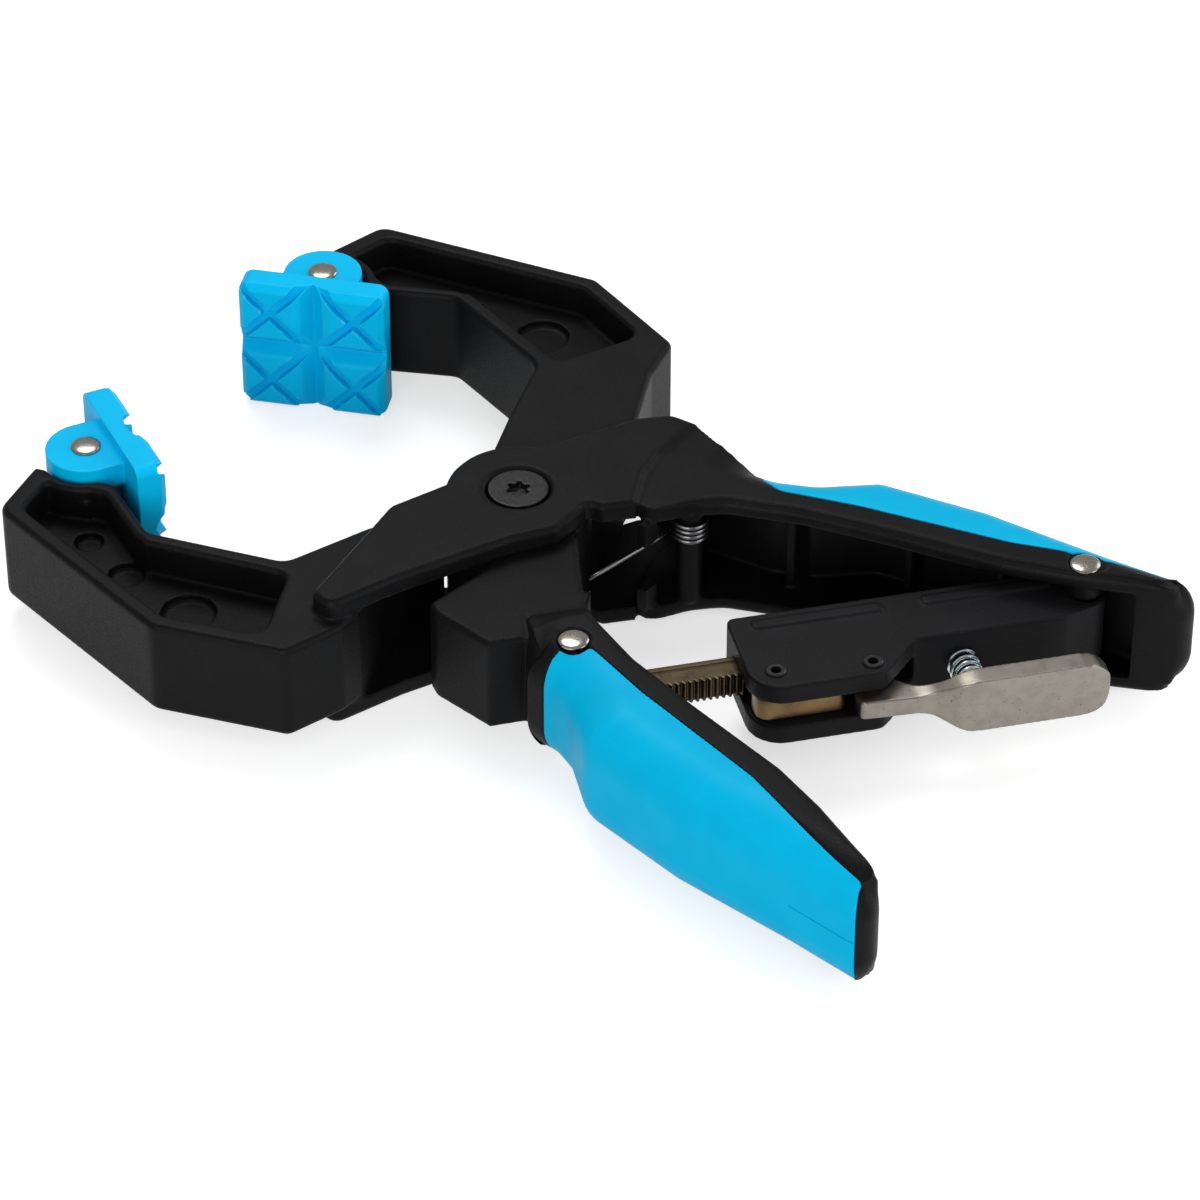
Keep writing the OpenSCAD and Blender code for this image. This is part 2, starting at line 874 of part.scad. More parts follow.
module trigger_rivet() {
    color([0.1, 0.1, 0.1])
        along_bar()
            at_xy(trigger_at)
                rivet();
}

// ---- trigger --------------------------------------------------------------------------
trigger_outline = [
    [68.7, 20.2, 1.4], [69.2, 23.6, 1.6], [88, 24.6, 8],
    [95, trigger_face + paddle_t, 10], [trigger_end, trigger_face + paddle_t, 2.8],
    [trigger_end, trigger_face, 2.8], [92, trigger_face, 8], [84, 19, 6],
    [78, 14, 2], [70, 14, 1]
];

module trigger() {
    paddle = paddle_h / 2;
    arm = trigger_arm_h / 2;
    color([0.62, 0.6, 0.56])
        along_bar()
            difference() {
                intersection() {
                    union() {
                        slab(trigger_outline, paddle_h);
                        at_xy(trigger_at)
                            post(4.4, mid - arm, mid + arm);
                    }
                    translate([0, 60, mid])
                        rotate([90, 0, 0])
                            linear_extrude(80)
                                polygon(rounded([
                                    [60, -arm, 0], [86, -arm, 13], [96, -paddle, 13],
                                    [trigger_end, -paddle, 7.4], [trigger_end, paddle, 7.4],
                                    [96, paddle, 13], [86, arm, 13], [60, arm, 0]
                                ]));
                }
                at_xy(trigger_at)
                    post(rivet_r + running, 0, body_h);
            }
}

module trigger_spring() {
    length = trigger_face - tail_v - 2 * spring_gap;
    color([0.7, 0.75, 0.8])
        along_bar()
            translate([spring_u, tail_v + spring_gap, mid])
                rotate([-90, 0, 0])
                    coil(spring_r - wire_r, wire_r, 6 * 18, length);
}

outer_arm();
inner_arm();
outer_grip();
inner_grip();
outer_jaw_pad();
inner_jaw_pad();
outer_pad_pin();
inner_pad_pin();
pivot_screw();
pivot_nut();
pivot_bush();
opening_spring();
ratchet_bar();
bar_pin();
housing_pin();
ratchet_housing();
pawl();
pawl_rivet();
trigger();
trigger_rivet();
trigger_spring();
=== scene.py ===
"""Looks of a ratcheting hand clamp with swivelling jaw pads, soft grips and a release trigger.

The moulded and cast pieces are copies of the frame's own pieces with their edges rounded. The link pins
are turned and the trigger's spring is wound here. The bush, the nut and the rivets are the frame's own.
Lengths are in metres.
"""
import json
import math

import bmesh
import bpy
from mathutils import Matrix, Vector
from mathutils.bvhtree import BVHTree


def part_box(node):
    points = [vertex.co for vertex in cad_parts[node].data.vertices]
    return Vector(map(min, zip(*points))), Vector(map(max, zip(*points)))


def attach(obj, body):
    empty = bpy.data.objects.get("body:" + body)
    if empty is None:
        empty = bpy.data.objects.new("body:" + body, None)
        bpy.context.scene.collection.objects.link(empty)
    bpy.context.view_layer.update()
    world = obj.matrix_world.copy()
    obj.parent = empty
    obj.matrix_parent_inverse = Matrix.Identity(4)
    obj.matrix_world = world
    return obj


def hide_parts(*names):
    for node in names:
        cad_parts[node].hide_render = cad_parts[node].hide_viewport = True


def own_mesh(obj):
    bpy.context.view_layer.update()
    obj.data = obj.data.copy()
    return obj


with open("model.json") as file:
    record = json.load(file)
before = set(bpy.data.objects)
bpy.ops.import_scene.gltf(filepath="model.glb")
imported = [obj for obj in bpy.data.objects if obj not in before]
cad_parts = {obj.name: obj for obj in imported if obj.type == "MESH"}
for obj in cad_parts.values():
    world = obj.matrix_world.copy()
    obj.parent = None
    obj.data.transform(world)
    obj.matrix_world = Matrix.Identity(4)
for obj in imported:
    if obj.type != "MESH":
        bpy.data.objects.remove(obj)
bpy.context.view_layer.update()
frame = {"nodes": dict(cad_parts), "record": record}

MM = 0.001
UP = Vector((0, 0, 1))

# ---- places that the pieces share ---------------------------------------------------------
low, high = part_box("outer_arm")
MID = (low.z + high.z) / 2                      # height of the clamp's middle plane
BODY_TOP = high.z
HANDLE_HALF = 18.5 * MM                         # half the height of the handles
HUB_HALF = 14 * MM                              # half the height of the jaws and the hub


def centre_of(node):
    """The middle of a node's box."""
    lowest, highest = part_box(node)
    return (lowest + highest) / 2


BAR_PIN = centre_of("bar_pin")
HOUSING_PIN = centre_of("housing_pin")
ALONG_BAR = (HOUSING_PIN - BAR_PIN).normalized()
TO_TRIGGER = ALONG_BAR.cross(UP)                # across the bar, from its back to its teeth


# ---- materials ----------------------------------------------------------------------------
class Finish:
    """A material with a Principled shader, and short calls for the nodes that feed it."""

    def __init__(self, name, colour, roughness, metallic=0.0, specular=0.5):
        self.material = bpy.data.materials.new(name)
        self.material.use_nodes = True
        self.nodes = self.material.node_tree.nodes
        self.links = self.material.node_tree.links
        self.shader = self.nodes["Principled BSDF"]
        self.colour = colour
        self.shader.inputs["Base Color"].default_value = (*colour, 1)
        self.shader.inputs["Roughness"].default_value = roughness
        self.shader.inputs["Metallic"].default_value = metallic
        self.shader.inputs["Specular IOR Level"].default_value = specular
        self.place = self.nodes.new("ShaderNodeTexCoord").outputs["Object"]

    def link(self, output, target):
        self.links.new(output, target)

    def stretched(self, scale):
        """Object coordinates drawn out by scale, for brushed and drawn surfaces."""
        mapping = self.nodes.new("ShaderNodeMapping")
        mapping.inputs["Scale"].default_value = scale
        self.link(self.place, mapping.inputs["Vector"])
        return mapping.outputs["Vector"]

    def noise(self, size, detail=3.0, place=None):
        """Cloudy noise whose blotches are about size across."""
        noise = self.nodes.new("ShaderNodeTexNoise")
        noise.inputs["Scale"].default_value = 1 / size
        noise.inputs["Detail"].default_value = detail
        self.link(place or self.place, noise.inputs["Vector"])
        return noise.outputs["Fac"]

    def cells(self, size):
        """Distance from the nearest of points that lie about size apart."""
        cells = self.nodes.new("ShaderNodeTexVoronoi")
        cells.inputs["Scale"].default_value = 1 / size
        self.link(self.place, cells.inputs["Vector"])
        return cells.outputs["Distance"]

    def ramp(self, value, start, end, low, high):
        """Value from start to end becomes low to high."""
        ramp = self.nodes.new("ShaderNodeMapRange")
        self.link(value, ramp.inputs["Value"])
        for key, number in zip(("From Min", "From Max", "To Min", "To Max"), (start, end, low, high)):
            ramp.inputs[key].default_value = number
        return ramp.outputs["Result"]

    def edges(self, start, end, most):
        """0 where the surface's pointedness is start, and most where it is end. Flat places have 0.5."""
        pointed = self.nodes.new("ShaderNodeNewGeometry").outputs["Pointiness"]
        return self.ramp(pointed, start, end, 0, most)

    def tint(self, factor, colour):
        """Mixes colour over what is there already, by factor."""
        mix = self.nodes.new("ShaderNodeMix")
        mix.data_type = "RGBA"
        before, after, out = mix.inputs[6], mix.inputs[7], mix.outputs[2]
        target = self.shader.inputs["Base Color"]
        if target.links:
            self.link(target.links[0].from_socket, before)
        else:
            before.default_value = (*self.colour, 1)
        after.default_value = (*colour, 1)
        self.link(factor, mix.inputs[0])
        self.link(out, target)

    def roughness(self, value):
        self.link(value, self.shader.inputs["Roughness"])

    def bump(self, height, depth, strength=1.0):
        """Raises the surface by up to depth. Later calls add to earlier ones."""
        bump = self.nodes.new("ShaderNodeBump")
        bump.inputs["Distance"].default_value = depth
        bump.inputs["Strength"].default_value = strength
        self.link(height, bump.inputs["Height"])
        target = self.shader.inputs["Normal"]
        if target.links:
            self.link(target.links[0].from_socket, bump.inputs["Normal"])
        self.link(bump.outputs["Normal"], target)


def glass_filled_nylon(name, colour, pale, speckle):
    """Black moulded nylon: a fine grain with pale specks, and paler flow marks."""
    finish = Finish(name, colour, 0.45, specular=0.09)
    grain = finish.noise(0.35 * MM, 4)
    finish.tint(finish.ramp(finish.noise(14 * MM, 2), 0.4, 0.75, 0, 0.6), pale)
    finish.tint(finish.ramp(finish.cells(0.55 * MM), 0.16, 0.02, 0, speckle), (0.09, 0.09, 0.093))
    finish.roughness(finish.ramp(grain, 0.3, 0.7, 0.36, 0.56))
    finish.bump(grain, 0.09 * MM, 0.8)
    finish.bump(finish.noise(0.9 * MM, 3), 0.08 * MM, 0.5)
    return finish.material


def soft_moulding(name, colour, shade, roughness, painted_tread_light=False):
    """Soft moulded rubber: an even satin with a faint mottle and a fine mould grain.

    When asked for, it also paints highlights on the edges and paints shade in the grooves.
    """
    finish = Finish(name, colour, roughness, specular=0.06)
    mottle = finish.noise(9 * MM, 3)
    finish.tint(finish.ramp(mottle, 0.42, 0.72, 0, 0.5), shade)
    finish.roughness(finish.ramp(mottle, 0.3, 0.7, roughness - 0.05, roughness + 0.06))
    finish.bump(finish.noise(0.45 * MM, 3), 0.03 * MM, 0.35)
    if painted_tread_light:
        # painted shade: darker colour in the grooves, where the surface is hollow
        finish.tint(finish.edges(0.48, 0.4, 0.8), (0.0, 0.3, 0.72))
        # painted highlight: paler colour on the edges, where the surface is pointed
        finish.tint(finish.edges(0.53, 0.62, 0.55), (0.16, 0.6, 0.95))
    return finish.material


def bright_steel(name, colour, roughness, scratch=0.4):
    """Turned or drawn steel with fine rings of scratches and a few dull spots."""
    finish = Finish(name, colour, roughness, metallic=1.0)
    scratches = finish.noise(0.5 * MM, 5, finish.stretched((1, 1, 9)))
    finish.roughness(finish.ramp(scratches, 0.35, 0.7, roughness * 0.7, roughness * 1.5))
    finish.tint(finish.ramp(finish.noise(2.5 * MM, 4), 0.5, 0.75, 0, 0.35), [c * 0.7 for c in colour])
    finish.bump(scratches, 0.006 * MM, scratch)
    return finish.material


def tumbled_steel(name, colour, pits):
    """Cast steel with a satin finish, cloudy and with dark pits."""
    finish = Finish(name, colour, 0.38, metallic=1.0)
    cloud = finish.noise(3.5 * MM, 6)
    pit = finish.ramp(finish.noise(0.8 * MM, 5), 0.64, 0.74, 0, 0.8)
    finish.tint(finish.ramp(cloud, 0.4, 0.68, 0, 0.4), [c * 0.7 for c in colour])
    finish.tint(pit, pits)
    finish.roughness(finish.ramp(cloud, 0.3, 0.7, 0.28, 0.46))
    finish.bump(pit, 0.05 * MM, -0.4)
    finish.bump(finish.noise(0.35 * MM, 4), 0.02 * MM, 0.5)
    return finish.material


def brushed_steel(name, colour, dark):
    """Sheet steel with a coloured finish, brushed along its length."""
    finish = Finish(name, colour, 0.36, metallic=1.0)
    grain = finish.noise(0.6 * MM, 5, finish.stretched((0.5, 0.5, 7)))
    finish.tint(finish.ramp(finish.noise(5 * MM, 4), 0.4, 0.7, 0, 0.7), dark)
    finish.tint(finish.ramp(grain, 0.5, 0.75, 0, 0.45), [min(1, c * 1.5) for c in colour])
    finish.roughness(finish.ramp(grain, 0.3, 0.7, 0.27, 0.45))
    finish.bump(grain, 0.02 * MM, 0.5)
    return finish.material


def black_oxide(name):
    """Blackened steel with a slight oily sheen."""
    finish = Finish(name, (0.012, 0.012, 0.013), 0.34, metallic=0.6)
    finish.tint(finish.ramp(finish.noise(1.2 * MM, 4), 0.5, 0.7, 0, 0.6), (0.035, 0.034, 0.033))
    finish.roughness(finish.ramp(finish.noise(0.8 * MM, 3), 0.3, 0.7, 0.26, 0.46))
    finish.bump(finish.noise(0.3 * MM, 3), 0.015 * MM, 0.4)
    return finish.material


FINISHES = {
    "black_nylon": glass_filled_nylon(
        "black_nylon", (0.003, 0.003, 0.0035), (0.006, 0.006, 0.0066), 0.3),
    "housing_nylon": glass_filled_nylon(
        "housing_nylon", (0.006, 0.006, 0.007), (0.01, 0.01, 0.0115), 0.4),
    "blue_grip": soft_moulding("blue_grip", (0.0, 0.42, 0.70), (0.0, 0.375, 0.65), 0.46),
    # the pad's material has painted highlights on its edges and painted shade in its grooves
    "blue_pad": soft_moulding("blue_pad", (0.0, 0.48, 0.83), (0.0, 0.45, 0.79), 0.42, painted_tread_light=True),
    "pin_steel": bright_steel("pin_steel", (0.36, 0.335, 0.295), 0.2, 0.15),
    "bush_steel": bright_steel("bush_steel", (0.5, 0.47, 0.42), 0.32),
    "spring_steel": bright_steel("spring_steel", (0.13, 0.13, 0.135), 0.3),
    "zinc_spring": bright_steel("zinc_spring", (0.66, 0.74, 0.78), 0.2),
    "black_steel": black_oxide("black_steel"),
    "bronzed_steel": brushed_steel("bronzed_steel", (0.085, 0.063, 0.037), (0.035, 0.027, 0.018)),
    "bronzed_pawl": brushed_steel("bronzed_pawl", (0.2, 0.13, 0.064), (0.09, 0.058, 0.03)),
    "cast_steel": tumbled_steel("cast_steel", (0.27, 0.245, 0.214), (0.07, 0.058, 0.048)),
}


# ---- making and placing pieces ------------------------------------------------------------
SLOT_OF = {part["node"]: part["material_slot"] for part in frame["record"]["subparts"]}
BODY_OF = {
    node: body
    for body, nodes in frame["record"]["behaviour"]["bodies"].items()
    for node in nodes
}
SHARP = math.radians(34)                        # edges flatter than this are shaded smooth


def shade(mesh):
    """Smooth shading that breaks at sharp edges."""
    bm = bmesh.new()
    bm.from_mesh(mesh)
    for face in bm.faces:
        face.smooth = True
    for edge in bm.edges:
        edge.smooth = len(edge.link_faces) == 2 and edge.calc_face_angle(0) < SHARP
    bm.to_mesh(mesh)
    bm.free()


def add_object(bm, name):
    mesh = bpy.data.meshes.new(name)
    bm.to_mesh(mesh)
    bm.free()
    made = bpy.data.objects.new(name, mesh)
    bpy.context.collection.objects.link(made)
    return made


def finish_piece(bm, node, weighted=True):
    """Turns a bmesh into the piece that stands for a frame node."""
    piece = add_object(bm, node + "_look")
    shade(piece.data)
    piece.data.materials.append(FINISHES[SLOT_OF[node]])
    if weighted:
        piece.modifiers.new("flat_sides", "WEIGHTED_NORMAL").keep_sharp = True
    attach(piece, BODY_OF[node])
    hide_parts(node)
    return piece


def copied(node):
    """A merged copy of a frame node."""
    bm = bmesh.new()
    bm.from_mesh(frame["nodes"][node].data)
    bmesh.ops.remove_doubles(bm, verts=bm.verts, dist=0.001 * MM)
    return bm


def moulded(node, grid, soften, most_faces, roll=()):
    """A copy of a node as a mould would give it: an even skin, softened, with its long edges rolled over.

    grid is the skin's spacing, soften the number of smoothing passes, and roll the calls that move its
    points to round edges or deepen valleys.
    """
    skin = add_object(copied(node), node + "_skin")
    remesh = skin.modifiers.new("remesh", "REMESH")
    remesh.mode = "VOXEL"
    remesh.voxel_size = grid
    skin.data = settled(skin)
    smooth = skin.modifiers.new("soften", "SMOOTH")
    smooth.factor = 0.5
    smooth.iterations = soften
    skin.data = settled(skin)
    for roll_edges in roll:
        roll_edges(skin.data)
    settle = skin.modifiers.new("settle", "SMOOTH")
    settle.factor = 0.5
    settle.iterations = soften
    thin = skin.modifiers.new("thin", "DECIMATE")
    thin.ratio = min(1, most_faces / (2 * len(skin.data.polygons)))
    skin.data = settled(skin)
    bm = bmesh.new()
    bm.from_mesh(skin.data)
    bpy.data.objects.remove(skin)
    return bm


def settled(thing):
    """The thing's mesh with its modifiers applied, and the modifiers taken off."""
    graph = bpy.context.evaluated_depsgraph_get()
    mesh = bpy.data.meshes.new_from_object(thing.evaluated_get(graph))
    thing.modifiers.clear()
    return mesh


WALL = 4.8 * MM                                 # thickness of a handle's wall
FADE = 12 * MM                                  # length over which a handle's round side begins
UPRIGHT = 0.1                                   # faces whose normal's Z is below this stand upright
NEAR = 0.1 * MM                                 # heights closer than this are the same level


def within_one(value):
    """Value held between 0 and 1."""
    return max(0, min(1, value))


def buried(face, tree):
    """True for a face that lies against one that looks the other way, as a grip's and its recess's do."""
    near = tree.find_nearest_range(face.calc_center_median(), 0.15 * MM)
    return any(normal.dot(face.normal) < -0.9 for _, normal, _, _ in near)


def roller(nodes, height, radius, picks, start=None):
    """A call that rolls over the level edges that lie height above and below the middle plane.

    They are the edges where the nodes' upright faces that picks accepts reach that level. The roll fades with
    depth, so that a grip stays in its recess and the hollow behind the wall stays as it is.
    With start, the roll grows from nothing at that X to its full size a FADE further on.
    """
    surface = 0.5 * MM                          # the softened skin lies up to this deep
    bm = bmesh.new()
    for node in nodes:
        bm.from_mesh(frame["nodes"][node].data)
    whole = BVHTree.FromBMesh(bm)
    sides = {
        face for face in bm.faces
        if abs(face.normal.z) < UPRIGHT and picks(face) and not buried(face, whole)
        and abs(max(abs(vert.co.z - MID) for vert in face.verts) - height) < NEAR
    }
    bmesh.ops.delete(bm, geom=[face for face in bm.faces if face not in sides], context="FACES")
    tree = BVHTree.FromBMesh(bm)
    bm.free()

    def roll_edges(mesh):
        for vert in mesh.vertices:
            away = vert.co.z - MID
            rise = abs(away) - (height - radius)
            if not 0 < rise < radius + 2 * NEAR:
                continue
            level = Vector((vert.co.x, vert.co.y, MID + math.copysign(height - 3 * NEAR, away)))
            spot, normal, _, depth = tree.find_nearest(level, radius)
            if spot is None:
                continue
            inward = -Vector((normal.x, normal.y, 0)).normalized()
            if depth < surface:                 # it may lie just outside the face, so its side counts
                depth = (level - spot).dot(inward)
            share = 1 if start is None else within_one((vert.co.x - start) / FADE)
            run = radius - depth
            layer = radius - max(run, rise)
            share *= within_one((WALL - layer) / (WALL - surface))
            shrink = (max(run, rise) / math.hypot(run, rise) - 1) * share
            vert.co -= inward * run * shrink
            vert.co.z += math.copysign(1, away) * rise * shrink
    return roll_edges


# ---- arms, grips and pads -----------------------------------------------------------------
OUTER_ROLL = 12.5 * MM                          # the round outer side that the palm and the fingers hold
INNER_ROLL = 3 * MM                             # the round edges of a handle's open side
JAW_ROLL = 1.6 * MM
CHEEK_ROLL = 2 * MM
HANDLE_START = 31 * MM                          # where the handles' rolled sides begin, along X
NECK_END = 19 * MM                              # the same for the inner arm, to round its shoulder too


OUTSIDE = 0.25                                  # the least that an outer face looks outward


def outward(hand):
    """The way that the outside of a handle looks, its end included. hand is the handle's side of Y."""
    return 0.35, hand, 0


def looks_to(direction, least):
    """Accepts faces beyond the pivot that look within a clear angle of direction."""
    def picks(face):
        return face.calc_center_median().x > HANDLE_START and face.normal.dot(Vector(direction)) > least
    return picks


def full_height(picks):
    """Narrows picks to faces that reach from one side of the middle plane to the other."""
    def both(face):
        heights = [vert.co.z for vert in face.verts]
        return min(heights) < MID < max(heights) and picks(face)
    return both


def anywhere(face):
    return True


for hand, arm, grip, start in (
    (1, "outer_arm", "outer_grip", HANDLE_START), (-1, "inner_arm", "inner_grip", NECK_END),
):
    outside = full_height(looks_to(outward(hand), OUTSIDE))
    outer = roller([arm, grip], HANDLE_HALF, OUTER_ROLL, outside, start)
    inner = roller([arm], HANDLE_HALF, INNER_ROLL, looks_to((0, -hand, 0), 0.3), HANDLE_START)
    jaw = roller([arm], HUB_HALF, JAW_ROLL, anywhere)
    cheek = roller([arm], BODY_TOP - MID, CHEEK_ROLL, anywhere)
    finish_piece(moulded(arm, 0.5 * MM, 3, 190000, [outer, inner, jaw, cheek]), arm)
    finish_piece(moulded(grip, 0.4 * MM, 2, 90000, [outer]), grip)


VALLEY_DEPTH = 2.2 * MM
UPRIGHT_VALLEY = 5.5 * MM                       # half the width of a pad's upright valley
LEVEL_VALLEY = 3.4 * MM                         # and of its level one
UNMOVED = 6 * MM                                # from a pad's face down to where nothing moves


def deepened(node, pin, hand):
    """A call that deepens the two valleys that cross on a pad's face. hand is the side of Y that it faces."""
    areas = {}
    bm = copied(node)
    for face in bm.faces:
        if abs(face.normal.z) < UPRIGHT:
            key = (round(face.normal.x, 2), round(face.normal.y, 2))
            areas[key] = areas.get(key, 0) + face.calc_area()
    bm.free()
    front = Vector((*max(areas, key=areas.get), 0)).normalized()
    if front.y * hand < 0:
        front = -front
    across = UP.cross(front)
    middle = centre_of(pin)

    def deepen(mesh):
        reach = max((vert.co - middle).dot(front) for vert in mesh.vertices)
        for vert in mesh.vertices:
            place = vert.co - middle
            near_face = within_one((place.dot(front) - reach + UNMOVED) / (UNMOVED - 1 * MM))
            upright = within_one(1 - abs(place.dot(across)) / UPRIGHT_VALLEY)
            level = within_one(1 - abs(place.z) / LEVEL_VALLEY)
            vert.co -= front * max(upright, level) * near_face * VALLEY_DEPTH
    return deepen


for pad, pin, hand in (("outer_jaw_pad", "outer_pad_pin", 1), ("inner_jaw_pad", "inner_pad_pin", -1)):
    finish_piece(moulded(pad, 0.3 * MM, 2, 120000, [deepened(pad, pin, hand)]), pad)


def parting_line(grip, hand, start):
    """The fine raised line that the mould leaves round a grip's tip, at the middle plane."""
    bm = copied(grip)
    half = 0.12 * MM
    cuts = (((0, 0, MID + half), (0, 0, 1)), ((0, 0, MID - half), (0, 0, -1)), ((start, 0, 0), (-1, 0, 0)))
    for place, normal in cuts:
        bmesh.ops.bisect_plane(
            bm, geom=bm.verts[:] + bm.edges[:] + bm.faces[:], dist=0.0001 * MM,
            plane_co=place, plane_no=normal, clear_outer=True,
        )
    outside = looks_to(outward(hand), OUTSIDE)
    strays = [face for face in bm.faces if abs(face.normal.z) > UPRIGHT or not outside(face)]
    bmesh.ops.delete(bm, geom=strays, context="FACES")
    bmesh.ops.remove_doubles(bm, verts=bm.verts, dist=0.01 * MM)
    bmesh.ops.solidify(bm, geom=bm.faces[:], thickness=-0.22 * MM)
    bmesh.ops.recalc_face_normals(bm, faces=bm.faces)
    line = add_object(bm, grip + "_parting_line")
    line.data.materials.append(FINISHES[SLOT_OF[grip]])
    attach(line, BODY_OF[grip])


for grip, hand in (("inner_grip", -1), ("outer_grip", 1)):
    parting_line(grip, hand, 138 * MM)


# ---- ratchet ------------------------------------------------------------------------------
for part, grid in (("ratchet_housing", 0.35), ("pawl", 0.2), ("trigger", 0.25), ("pivot_screw", 0.16)):
    finish_piece(moulded(part, grid * MM, 6, 100000), part)
finish_piece(moulded("ratchet_bar", 0.18 * MM, 1, 120000), "ratchet_bar")


# ---- turned pieces ------------------------------------------------------------------------
def turned(node, profile, steps=64):
    """A closed piece turned on an upright axis from [radius, height] points, from one end to the other."""
    centre = centre_of(node)
    axis = Vector((centre.x, centre.y, 0))
    bm = bmesh.new()
    verts = [bm.verts.new(axis + Vector((radius, 0, height))) for radius, height in profile]
    for first, second in zip(verts, verts[1:]):
        bm.edges.new((first, second))
    bmesh.ops.spin(
        bm, geom=bm.verts[:] + bm.edges[:], cent=axis, axis=UP,
        angle=math.tau, steps=steps, use_merge=True,
    )
    bmesh.ops.remove_doubles(bm, verts=bm.verts, dist=0.003 * MM)
    bmesh.ops.recalc_face_normals(bm, faces=bm.faces)
    return finish_piece(bm, node, weighted=False)


def dome(radius, height, rise, steps=6):
    """A shallow dome from its rim to its middle, as [radius, height] points."""
    angles = [math.radians(90 * i / steps) for i in range(steps + 1)]
    return [(radius * math.cos(angle), height + rise * math.sin(angle)) for angle in angles]


def mirrored(half):
    """The upper half of a profile, from the middle plane up, and its reflection below."""
    return [(radius, 2 * MID - height) for radius, height in reversed(half)] + half


def headed_pin(node, shank, head):
    """A pin with a domed head at each end, inside its node's box."""
    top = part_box(node)[1].z
    under = top - 1.2 * MM
    half = [(shank, MID), (shank, under), (head - 0.15 * MM, under), (head, under + 0.15 * MM)]
    return turned(node, mirrored(half + dome(head, under + 0.5 * MM, 0.7 * MM)))


for pin in ("bar_pin", "housing_pin", "outer_pad_pin", "inner_pad_pin"):
    headed_pin(pin, 2.5 * MM, 3.95 * MM)


# ---- springs ------------------------------------------------------------------------------
def wire_coil(start, axis, radius, wire, turns, length, per_turn=28, sides=10):
    """A round wire wound on axis from start: a bmesh with open ends."""
    out = axis.orthogonal().normalized()
    bm = bmesh.new()
    made = bmesh.ops.create_circle(bm, segments=sides, radius=wire, cap_ends=False)
    along = axis.cross(out)
    turn = Matrix((out, axis, along)).transposed().to_4x4()
    place = Matrix.Translation(start + out * radius + axis * wire) @ turn
    bmesh.ops.transform(bm, matrix=place, verts=made["verts"])
    steps = round(turns * per_turn)
    bmesh.ops.spin(
        bm, geom=bm.edges[:] + bm.verts[:], cent=start, axis=axis,
        dvec=axis * ((length - 2 * wire) / steps), angle=math.tau * turns, steps=steps,
    )
    bmesh.ops.holes_fill(bm, edges=bm.edges)
    bmesh.ops.recalc_face_normals(bm, faces=bm.faces)
    return bm


def trigger_spring():
    """The compression spring between the housing's tail and the trigger's paddle."""
    node = "trigger_spring"
    centre = centre_of(node)
    length = 13.3 * MM
    start = centre - TO_TRIGGER * (length / 2)
    bm = wire_coil(start, TO_TRIGGER, 3.75 * MM, 0.5 * MM, 5.2, length)
    piece = finish_piece(bm, node, weighted=False)
    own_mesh(piece)


trigger_spring()
opening_spring = finish_piece(copied("opening_spring"), "opening_spring", weighted=False)
round_wire = opening_spring.modifiers.new("round_wire", "SUBSURF")
round_wire.levels = round_wire.render_levels = 1

for node, piece in frame["nodes"].items():
    piece.data.materials.clear()
    piece.data.materials.append(FINISHES[SLOT_OF[node]])


# ---- floor, light and camera --------------------------------------------------------------
def white_to_the_eye(name, colour, glow):
    """A pale surface that adds a glow of its own where the camera or a mirror looks at it."""
    material = bpy.data.materials.new(name)
    material.use_nodes = True
    nodes, links = material.node_tree.nodes, material.node_tree.links
    nodes.clear()
    matte = nodes.new("ShaderNodeBsdfDiffuse")
    matte.inputs["Color"].default_value = (*colour, 1)
    light = nodes.new("ShaderNodeEmission")
    path = nodes.new("ShaderNodeLightPath")
    seen = nodes.new("ShaderNodeMath")
    seen.operation = "MAXIMUM"
    links.new(path.outputs["Is Camera Ray"], seen.inputs[0])
    links.new(path.outputs["Is Glossy Ray"], seen.inputs[1])
    strength = nodes.new("ShaderNodeMath")
    strength.operation = "MULTIPLY"
    strength.inputs[1].default_value = glow
    links.new(seen.outputs[0], strength.inputs[0])
    links.new(strength.outputs[0], light.inputs["Strength"])
    both = nodes.new("ShaderNodeAddShader")
    links.new(matte.outputs[0], both.inputs[0])
    links.new(light.outputs[0], both.inputs[1])
    output = nodes.new("ShaderNodeOutputMaterial")
    links.new(both.outputs[0], output.inputs["Surface"])
    return material


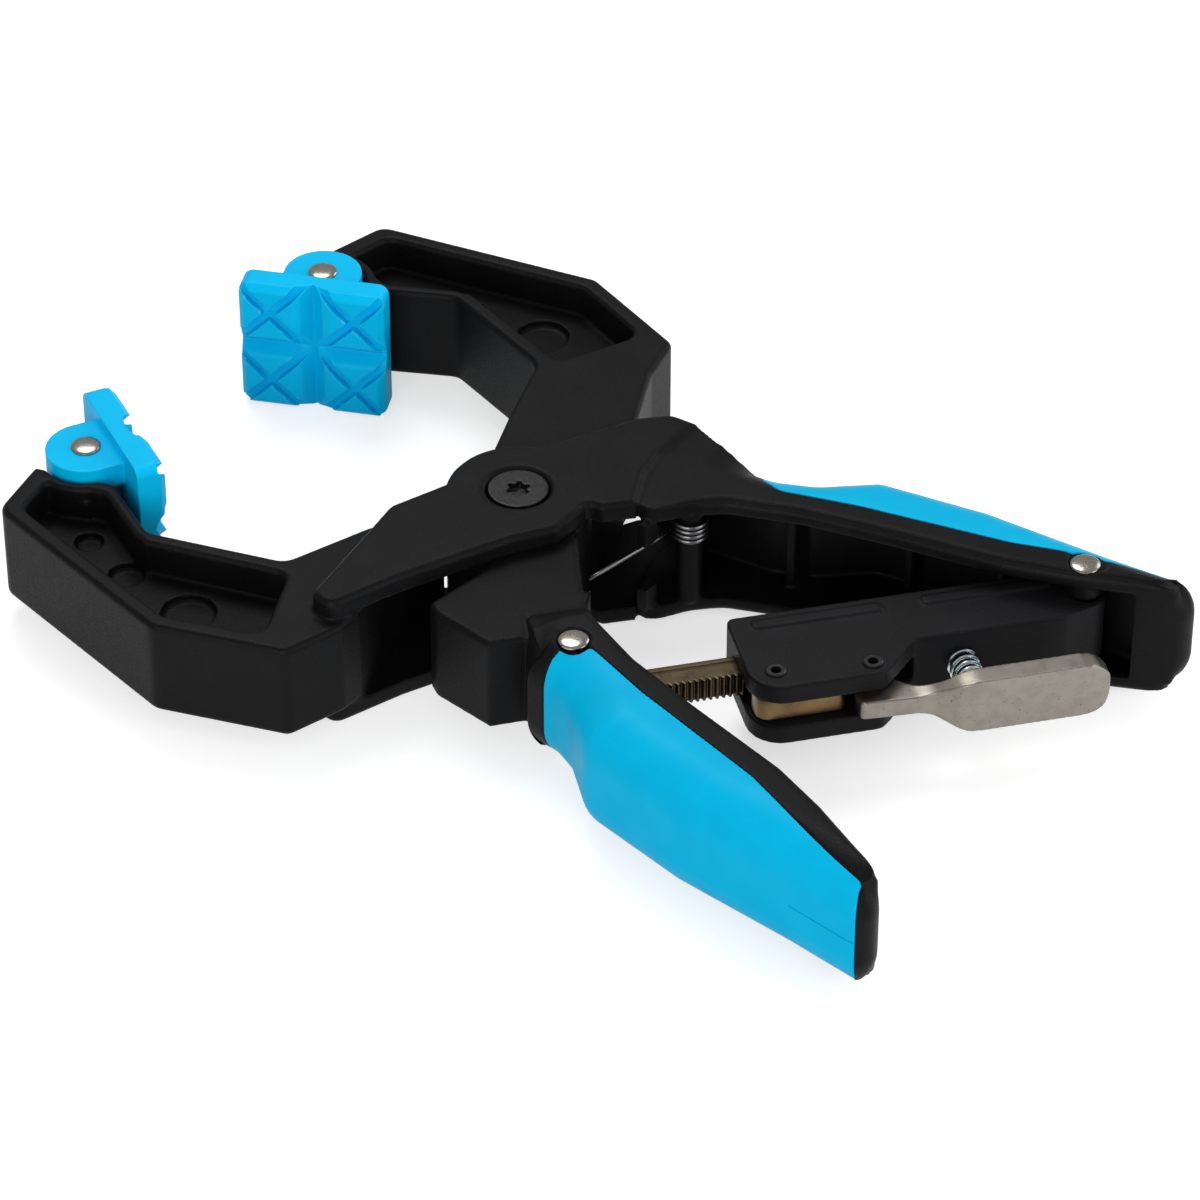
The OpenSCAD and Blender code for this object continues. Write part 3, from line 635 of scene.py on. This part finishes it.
def add_floor():
    bm = bmesh.new()
    bmesh.ops.create_grid(bm, x_segments=1, y_segments=1, size=6)
    mesh = bpy.data.meshes.new("floor")
    bm.to_mesh(mesh)
    bm.free()
    floor = bpy.data.objects.new("floor", mesh)
    bpy.context.collection.objects.link(floor)
    mesh.materials.append(white_to_the_eye("pale_floor", (0.6, 0.6, 0.6), 0.62))


def add_world(strength):
    """An even light all round, which the camera sees as white."""
    world = bpy.data.worlds.new("studio")
    bpy.context.scene.world = world
    world.use_nodes = True
    nodes, links = world.node_tree.nodes, world.node_tree.links
    background = nodes["Background"]
    background.inputs["Color"].default_value = (1, 1, 1, 1)
    path = nodes.new("ShaderNodeLightPath")
    amount = nodes.new("ShaderNodeMapRange")
    amount.inputs["To Min"].default_value = strength
    amount.inputs["To Max"].default_value = 1
    links.new(path.outputs["Is Camera Ray"], amount.inputs["Value"])
    links.new(amount.outputs["Result"], background.inputs["Strength"])


def aim(thing, place, target):
    thing.location = place
    thing.rotation_euler = (Vector(target) - Vector(place)).to_track_quat("-Z", "Y").to_euler()
    bpy.context.collection.objects.link(thing)


def add_lamp(name, place, size, power):
    data = bpy.data.lights.new(name, "AREA")
    data.shape = "DISK"
    data.size = size
    data.energy = power
    aim(bpy.data.objects.new(name, data), place, (0, 0, MID))


def add_camera():
    """Looks down from the front right at the angle of a catalogue view."""
    data = bpy.data.cameras.new("camera")
    data.lens = 165
    data.sensor_width = 36
    azimuth, elevation, distance = math.radians(36.34), math.radians(38.15), 1.430
    target = Vector((0.0279, -0.0020, 0.0169))
    back = Vector((
        math.sin(azimuth) * math.cos(elevation), -math.cos(azimuth) * math.cos(elevation), math.sin(elevation)
    ))
    camera = bpy.data.objects.new("camera", data)
    aim(camera, target + back * distance, target)
    data.clip_start = 0.05
    data.clip_end = 20
    bpy.context.scene.camera = camera


add_floor()
add_world(0.42)
add_lamp("key", (-0.45, 0.35, 1.0), 0.6, 5.5)
add_lamp("front", (0.4, -1.0, 0.42), 0.8, 7)
add_lamp("side", (1.1, 0.2, 0.4), 0.8, 5)
add_lamp("rim", (0.3, 1.1, 0.6), 0.7, 3)
add_camera()
bpy.context.scene.view_settings.view_transform = "Standard"
